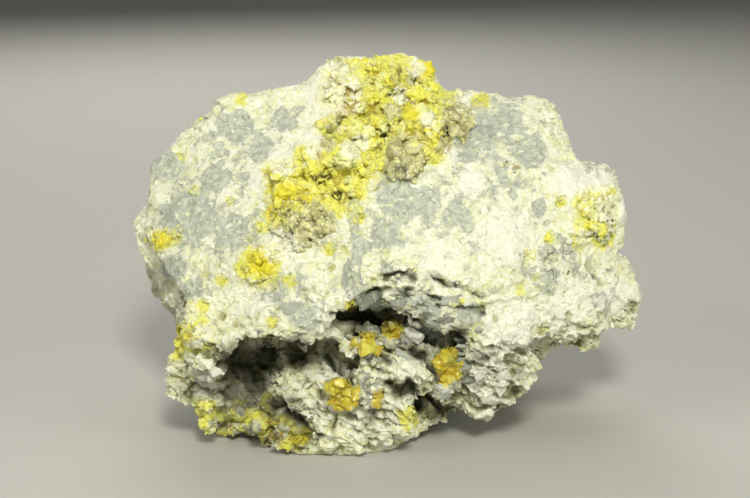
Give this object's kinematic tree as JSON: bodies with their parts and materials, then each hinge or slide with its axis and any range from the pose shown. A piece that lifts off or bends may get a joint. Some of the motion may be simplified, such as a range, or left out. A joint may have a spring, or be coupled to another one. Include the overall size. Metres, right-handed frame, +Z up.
{
  "type": "native sulfur crystal specimen",
  "caption": "Broken block of pale limestone breccia with hollows lined by yellow sulfur and tan calcite crystals, resting on a ground-flat underside.",
  "frame": {"origin": "on the surface the specimen rests on, under the middle of its box", "axes": "+X along the longest side, -Y towards the best side, +Z up from the rest face"},
  "size_m": [0.3174, 0.1884, 0.2246],
  "materials": {
    "limestone": "rough, powdery broken rock",
    "sulfur": "resinous yellow crystal, slightly translucent",
    "calcite": "tan to grey crystal, slightly translucent"
  },
  "bodies": {
    "root": {"calcite_cluster_back": "calcite", "calcite_cluster_centre": "calcite", "calcite_cluster_peak": "calcite", "calcite_cluster_right": "calcite", "calcite_crust_trough": "calcite", "limestone_matrix": "limestone", "sulfur_cluster_amber": "sulfur", "sulfur_cluster_column": "sulfur", "sulfur_cluster_lower": "sulfur", "sulfur_crust_back": "sulfur", "sulfur_crust_left_foot": "sulfur", "sulfur_crust_middle": "sulfur", "sulfur_crust_ridge": "sulfur", "sulfur_crust_slab_end": "sulfur", "sulfur_crust_trough": "sulfur", "sulfur_crystals_ledge": "sulfur", "sulfur_lumps_toe": "sulfur", "sulfur_pocket_left": "sulfur", "sulfur_pocket_right": "sulfur"}
  },
  "joints": []
}
